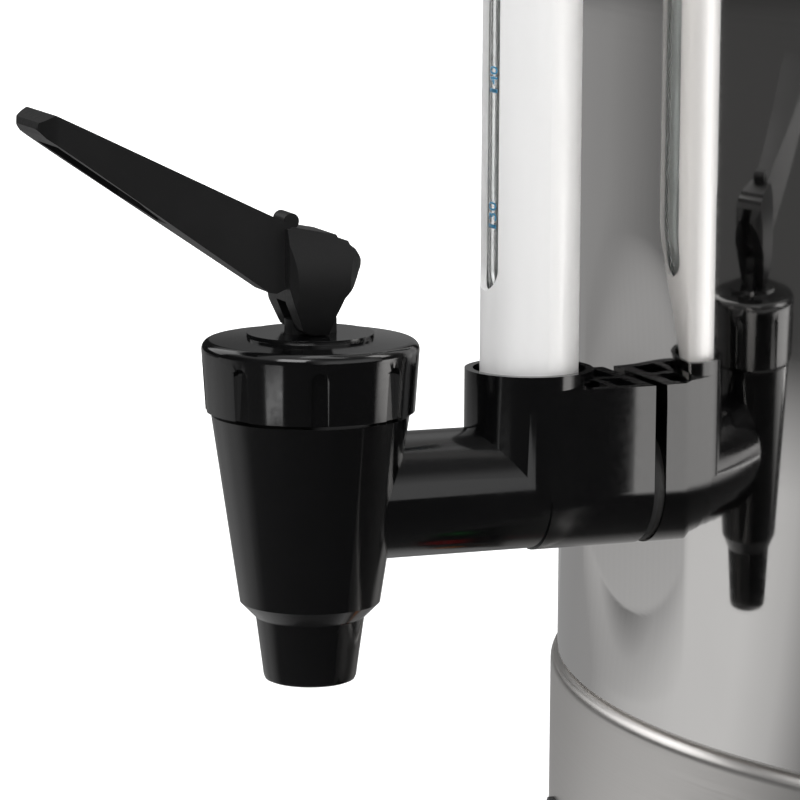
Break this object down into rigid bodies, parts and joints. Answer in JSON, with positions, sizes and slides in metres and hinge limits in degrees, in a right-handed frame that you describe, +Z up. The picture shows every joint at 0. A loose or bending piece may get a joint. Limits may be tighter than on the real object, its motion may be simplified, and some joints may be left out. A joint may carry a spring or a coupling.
{
  "type": "coffee urn",
  "caption": "Polished steel percolator coffee urn on a satin base, with a black lever tap, a shielded sight-tube level gauge, lift-off lid and brewing basket",
  "frame": {"origin": "centre of the footprint, on the surface that the urn stands on", "axes": "+Z up along the tank's axis, -Y the way the tap points, +X to the side of one handle"},
  "size_m": [0.398, 0.4262, 0.5347],
  "materials": {
    "tank_steel": "mirror-polished stainless steel",
    "lid_steel": "polished spun steel",
    "brew_steel": "plain bright steel",
    "base_steel": "satin stainless steel",
    "plate_steel": "galvanised sheet",
    "fixings": "bright plated steel",
    "tap_black": "glossy black moulding",
    "lever_black": "satin black moulding",
    "knob_black": "glossy black phenolic",
    "shield_metal": "bright matt aluminium",
    "sight_glass": "clear borosilicate tube",
    "silicone": "translucent silicone",
    "dark_rubber": "black rubber",
    "spring_wire": "spring wire",
    "element_sheath": "oxidised element sheath",
    "sensor_phenolic": "brown phenolic",
    "block_ceramic": "white ceramic",
    "lead_sleeve": "red silicone sleeve",
    "panel_black": "fine-grained black",
    "rocker_red": "translucent red",
    "lens_amber": "translucent amber",
    "lens_green": "translucent green",
    "contact_brass": "bright contact blades"
  },
  "bodies": {
    "urn": {"tank": "tank_steel", "base_skirt": "base_steel", "base_plate": "plate_steel", "base_posts": "plate_steel", "lock_washer": "fixings", "shank_nut": "fixings", "holder_screws": "fixings", "handle_screws": "fixings", "foot_screws": "fixings", "foot_nuts": "fixings", "base_screws": "fixings", "inlet_screws": "fixings", "tap_body": "tap_black", "tap_bonnet": "tap_black", "handle_left": "knob_black", "handle_right": "knob_black", "gauge_holder": "knob_black", "gauge_cap": "knob_black", "gauge_shield": "shield_metal", "gauge_glass": "sight_glass", "inner_gasket": "silicone", "gauge_top_seal": "silicone", "handle_washers": "silicone", "outer_gasket": "dark_rubber", "gauge_seal": "dark_rubber", "feet": "dark_rubber", "brew_element": "element_sheath", "warm_element": "element_sheath", "thermostat": "sensor_phenolic", "thermal_cutout": "sensor_phenolic", "terminal_block": "block_ceramic", "inner_leads": "lead_sleeve", "control_panel": "panel_black", "switch_frame": "panel_black", "lamp_bodies": "panel_black", "inlet_surround": "panel_black", "power_inlet": "panel_black", "brew_lens": "lens_amber", "ready_lens": "lens_green", "inlet_pins": "contact_brass"},
    "valve": {"valve_stem": "lever_black", "seat_cup": "silicone", "lever_pin": "fixings", "valve_spring": "spring_wire"},
    "lever": {"tap_lever": "lever_black"},
    "rocker": {"switch_rocker": "rocker_red"},
    "brew_set": {"basket": "brew_steel", "pump_tube": "brew_steel", "basket_collar": "brew_steel", "pump_bell": "brew_steel"},
    "basket_cover": {"basket_lid": "brew_steel"},
    "lid": {"lid": "lid_steel", "lid_knob": "knob_black", "knob_guard": "knob_black", "knob_screw": "fixings"},
    "pump_disc": {"pump_washer": "brew_steel"}
  },
  "joints": [
    {"name": "valve_lift", "type": "slide", "parent": "urn", "child": "valve", "axis": [0, 0, 1], "range_m": [0, 0.00084], "deforming": ["valve_spring"]},
    {"name": "lever_press", "type": "hinge", "parent": "valve", "child": "lever", "pos_m": [0, -0.214, 0.1799], "axis": [1, 0, 0], "range_deg": [0, 40], "stiffness_Nm_per_rad": 0.6, "springref_deg": -14.32},
    {"name": "rocker_switch", "type": "hinge", "parent": "urn", "child": "rocker", "pos_m": [0, -0.1534, 0.048], "axis": [1, 0, 0], "range_deg": [-16, 0]},
    {"name": "brew_set_lift", "type": "slide", "parent": "urn", "child": "brew_set", "axis": [0, 0, 1], "range_m": [0, 0.4]},
    {"name": "basket_lid_lift", "type": "slide", "parent": "brew_set", "child": "basket_cover", "axis": [0, 0, 1], "range_m": [0, 0.12]},
    {"name": "lid_lift", "type": "slide", "parent": "basket_cover", "child": "lid", "axis": [0, 0, 1], "range_m": [0, 0.15]},
    {"name": "pump_disc_lift", "type": "slide", "parent": "brew_set", "child": "pump_disc", "axis": [0, 0, 1], "range_m": [0, 0.002]}
  ],
  "couplings": [
    {"joint": "valve_lift", "follows": "lever_press", "m_per_rad": 0.0012}
  ]
}
